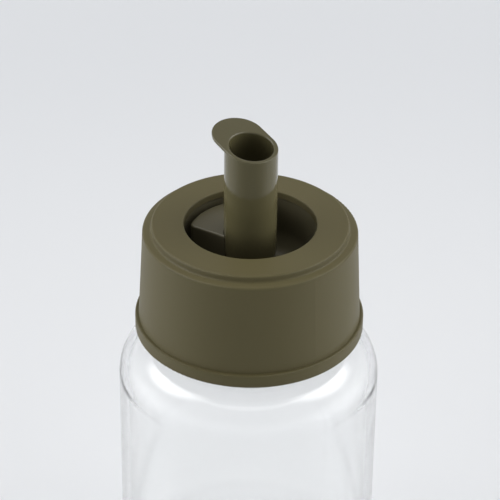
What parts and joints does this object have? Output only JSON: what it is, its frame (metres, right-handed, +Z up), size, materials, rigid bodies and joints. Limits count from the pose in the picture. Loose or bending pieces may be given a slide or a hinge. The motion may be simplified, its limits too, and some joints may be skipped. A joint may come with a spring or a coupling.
{
  "type": "soy sauce dispenser",
  "caption": "Round clear glass sauce bottle with a stepped olive screw closure, a sunken drip well and an upright pouring tube with a slanted lip.",
  "frame": {"origin": "middle of the bottle's base, on the surface that it stands on", "axes": "+Z up along the bottle's axis, the pouring lip points to -X"},
  "size_m": [0.069, 0.069, 0.1471],
  "materials": {
    "clear_glass": "clear, smooth, polished",
    "satin_shell": "olive, satin, very fine moulded grain",
    "collar_plastic": "olive, plain moulded",
    "silicone": "translucent white, matte",
    "satin_well": "dark olive, satin",
    "gloss_plastic": "dark olive, glossy",
    "restrictor_plastic": "dark olive, plain moulded"
  },
  "bodies": {
    "bottle": {"glass_bottle": "clear_glass"},
    "gasket": {"sealing_gasket": "silicone"},
    "spout_unit": {"drip_well": "satin_well", "pour_tube": "gloss_plastic", "pour_restrictor": "restrictor_plastic"},
    "screw_cap": {"cap_shell": "satin_shell", "threaded_collar": "collar_plastic"}
  },
  "joints": [
    {"name": "closure_lift", "type": "slide", "parent": "bottle", "child": "gasket", "axis": [0, 0, 1], "range_m": [0, 0.04]},
    {"name": "spout_rise", "type": "slide", "parent": "gasket", "child": "spout_unit", "axis": [0, 0, 1], "range_m": [0, 0.0046]},
    {"name": "cap_turn", "type": "hinge", "parent": "spout_unit", "child": "screw_cap", "pos_m": [0, 0, 0.106], "axis": [0, 0, 1], "range_deg": [0, 540]}
  ],
  "couplings": [
    {"joint": "spout_rise", "follows": "cap_turn", "m_per_rad": 0.00047746}
  ]
}
